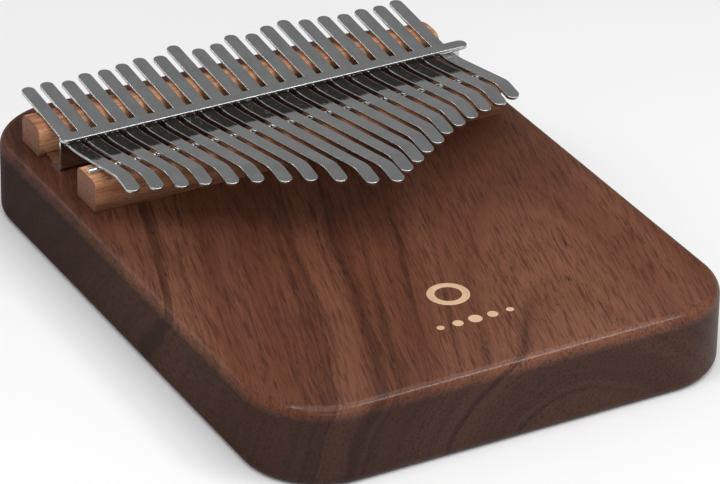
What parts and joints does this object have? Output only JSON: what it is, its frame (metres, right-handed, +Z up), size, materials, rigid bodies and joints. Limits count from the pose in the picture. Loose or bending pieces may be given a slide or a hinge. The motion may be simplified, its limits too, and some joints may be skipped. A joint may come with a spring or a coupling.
{
  "type": "mbira",
  "caption": "Lamellophone on a solid wooden board: a row of sprung steel tines held by a pressure bar in a slotted steel bracket, between a rear wooden bridge and a front one with a rod",
  "frame": {"origin": "centre of the board's underside", "axes": "X across the tines, from the player's left to right; Y along the tines from their playing tips to their tails; Z up out of the board's top"},
  "size_m": [0.1666, 0.2214, 0.0535],
  "materials": {
    "board_wood": "satin lacquer over walnut figure",
    "bridge_wood": "oiled, open pores",
    "inlay_wood": "satin, pale close-grained",
    "tine_steel": "rolled spring steel, lightly polished",
    "polished_sheet": "mirror-polished sheet",
    "bar_steel": "satin, with polished edges",
    "rod_steel": "bright drawn rod",
    "screw_steel": "plain zinced"
  },
  "bodies": {
    "frame": {"board": "board_wood", "inlay_ring": "inlay_wood", "inlay_dots": "inlay_wood", "front_bridge": "bridge_wood", "rear_bridge": "bridge_wood", "bridge_rod": "rod_steel", "bracket": "polished_sheet", "pressure_bar": "bar_steel", "bracket_screws": "screw_steel", "tine_01_root": "tine_steel", "tine_02_root": "tine_steel", "tine_03_root": "tine_steel", "tine_04_root": "tine_steel", "tine_05_root": "tine_steel", "tine_06_root": "tine_steel", "tine_07_root": "tine_steel", "tine_08_root": "tine_steel", "tine_09_root": "tine_steel", "tine_10_root": "tine_steel", "tine_11_root": "tine_steel", "tine_12_root": "tine_steel", "tine_13_root": "tine_steel", "tine_14_root": "tine_steel", "tine_15_root": "tine_steel", "tine_16_root": "tine_steel", "tine_17_root": "tine_steel", "tine_18_root": "tine_steel", "tine_19_root": "tine_steel", "tine_20_root": "tine_steel", "tine_21_root": "tine_steel"},
    "tongue_01": {"tine_01_tongue": "tine_steel"},
    "tongue_02": {"tine_02_tongue": "tine_steel"},
    "tongue_03": {"tine_03_tongue": "tine_steel"},
    "tongue_04": {"tine_04_tongue": "tine_steel"},
    "tongue_05": {"tine_05_tongue": "tine_steel"},
    "tongue_06": {"tine_06_tongue": "tine_steel"},
    "tongue_07": {"tine_07_tongue": "tine_steel"},
    "tongue_08": {"tine_08_tongue": "tine_steel"},
    "tongue_09": {"tine_09_tongue": "tine_steel"},
    "tongue_10": {"tine_10_tongue": "tine_steel"},
    "tongue_11": {"tine_11_tongue": "tine_steel"},
    "tongue_12": {"tine_12_tongue": "tine_steel"},
    "tongue_13": {"tine_13_tongue": "tine_steel"},
    "tongue_14": {"tine_14_tongue": "tine_steel"},
    "tongue_15": {"tine_15_tongue": "tine_steel"},
    "tongue_16": {"tine_16_tongue": "tine_steel"},
    "tongue_17": {"tine_17_tongue": "tine_steel"},
    "tongue_18": {"tine_18_tongue": "tine_steel"},
    "tongue_19": {"tine_19_tongue": "tine_steel"},
    "tongue_20": {"tine_20_tongue": "tine_steel"},
    "tongue_21": {"tine_21_tongue": "tine_steel"}
  },
  "joints": [
    {"name": "pluck_01", "type": "hinge", "parent": "frame", "child": "tongue_01", "pos_m": [-0.07, 0.03706, 0.04179], "axis": [1, 0, 0], "range_deg": [-0.6, 1], "stiffness_Nm_per_rad": 13.58},
    {"name": "pluck_02", "type": "hinge", "parent": "frame", "child": "tongue_02", "pos_m": [-0.063, 0.03706, 0.04179], "axis": [1, 0, 0], "range_deg": [-0.8, 1.3], "stiffness_Nm_per_rad": 12},
    {"name": "pluck_03", "type": "hinge", "parent": "frame", "child": "tongue_03", "pos_m": [-0.056, 0.03706, 0.04179], "axis": [1, 0, 0], "range_deg": [-1, 1.7], "stiffness_Nm_per_rad": 10.5},
    {"name": "pluck_04", "type": "hinge", "parent": "frame", "child": "tongue_04", "pos_m": [-0.049, 0.03706, 0.04179], "axis": [1, 0, 0], "range_deg": [-1.2, 2], "stiffness_Nm_per_rad": 9.66},
    {"name": "pluck_05", "type": "hinge", "parent": "frame", "child": "tongue_05", "pos_m": [-0.042, 0.03706, 0.04179], "axis": [1, 0, 0], "range_deg": [-1.6, 2.6], "stiffness_Nm_per_rad": 8.35},
    {"name": "pluck_06", "type": "hinge", "parent": "frame", "child": "tongue_06", "pos_m": [-0.035, 0.03706, 0.04179], "axis": [1, 0, 0], "range_deg": [-1.9, 3.2], "stiffness_Nm_per_rad": 7.58},
    {"name": "pluck_07", "type": "hinge", "parent": "frame", "child": "tongue_07", "pos_m": [-0.028, 0.03706, 0.04179], "axis": [1, 0, 0], "range_deg": [-2.1, 3.5], "stiffness_Nm_per_rad": 6.68},
    {"name": "pluck_08", "type": "hinge", "parent": "frame", "child": "tongue_08", "pos_m": [-0.021, 0.03706, 0.04179], "axis": [1, 0, 0], "range_deg": [-2.1, 3.5], "stiffness_Nm_per_rad": 6.14},
    {"name": "pluck_09", "type": "hinge", "parent": "frame", "child": "tongue_09", "pos_m": [-0.014, 0.03706, 0.04179], "axis": [1, 0, 0], "range_deg": [-2.1, 3.5], "stiffness_Nm_per_rad": 5.44},
    {"name": "pluck_10", "type": "hinge", "parent": "frame", "child": "tongue_10", "pos_m": [-0.007, 0.03706, 0.04179], "axis": [1, 0, 0], "range_deg": [-2.1, 3.5], "stiffness_Nm_per_rad": 4.78},
    {"name": "pluck_11", "type": "hinge", "parent": "frame", "child": "tongue_11", "pos_m": [0, 0.03706, 0.04179], "axis": [1, 0, 0], "range_deg": [-2.1, 3.5], "stiffness_Nm_per_rad": 4.53},
    {"name": "pluck_12", "type": "hinge", "parent": "frame", "child": "tongue_12", "pos_m": [0.007, 0.03706, 0.04179], "axis": [1, 0, 0], "range_deg": [-2.1, 3.5], "stiffness_Nm_per_rad": 5},
    {"name": "pluck_13", "type": "hinge", "parent": "frame", "child": "tongue_13", "pos_m": [0.014, 0.03706, 0.04179], "axis": [1, 0, 0], "range_deg": [-2.1, 3.5], "stiffness_Nm_per_rad": 5.46},
    {"name": "pluck_14", "type": "hinge", "parent": "frame", "child": "tongue_14", "pos_m": [0.021, 0.03706, 0.04179], "axis": [1, 0, 0], "range_deg": [-2.1, 3.5], "stiffness_Nm_per_rad": 6.1},
    {"name": "pluck_15", "type": "hinge", "parent": "frame", "child": "tongue_15", "pos_m": [0.028, 0.03706, 0.04179], "axis": [1, 0, 0], "range_deg": [-2.1, 3.5], "stiffness_Nm_per_rad": 6.81},
    {"name": "pluck_16", "type": "hinge", "parent": "frame", "child": "tongue_16", "pos_m": [0.035, 0.03706, 0.04179], "axis": [1, 0, 0], "range_deg": [-1.8, 2.9], "stiffness_Nm_per_rad": 7.89},
    {"name": "pluck_17", "type": "hinge", "parent": "frame", "child": "tongue_17", "pos_m": [0.042, 0.03706, 0.04179], "axis": [1, 0, 0], "range_deg": [-1.4, 2.4], "stiffness_Nm_per_rad": 8.79},
    {"name": "pluck_18", "type": "hinge", "parent": "frame", "child": "tongue_18", "pos_m": [0.049, 0.03706, 0.04179], "axis": [1, 0, 0], "range_deg": [-1.1, 1.9], "stiffness_Nm_per_rad": 9.83},
    {"name": "pluck_19", "type": "hinge", "parent": "frame", "child": "tongue_19", "pos_m": [0.056, 0.03706, 0.04179], "axis": [1, 0, 0], "range_deg": [-0.9, 1.5], "stiffness_Nm_per_rad": 11.03},
    {"name": "pluck_20", "type": "hinge", "parent": "frame", "child": "tongue_20", "pos_m": [0.063, 0.03706, 0.04179], "axis": [1, 0, 0], "range_deg": [-0.8, 1.3], "stiffness_Nm_per_rad": 11.95},
    {"name": "pluck_21", "type": "hinge", "parent": "frame", "child": "tongue_21", "pos_m": [0.07, 0.03706, 0.04179], "axis": [1, 0, 0], "range_deg": [-0.6, 1], "stiffness_Nm_per_rad": 13.63}
  ]
}
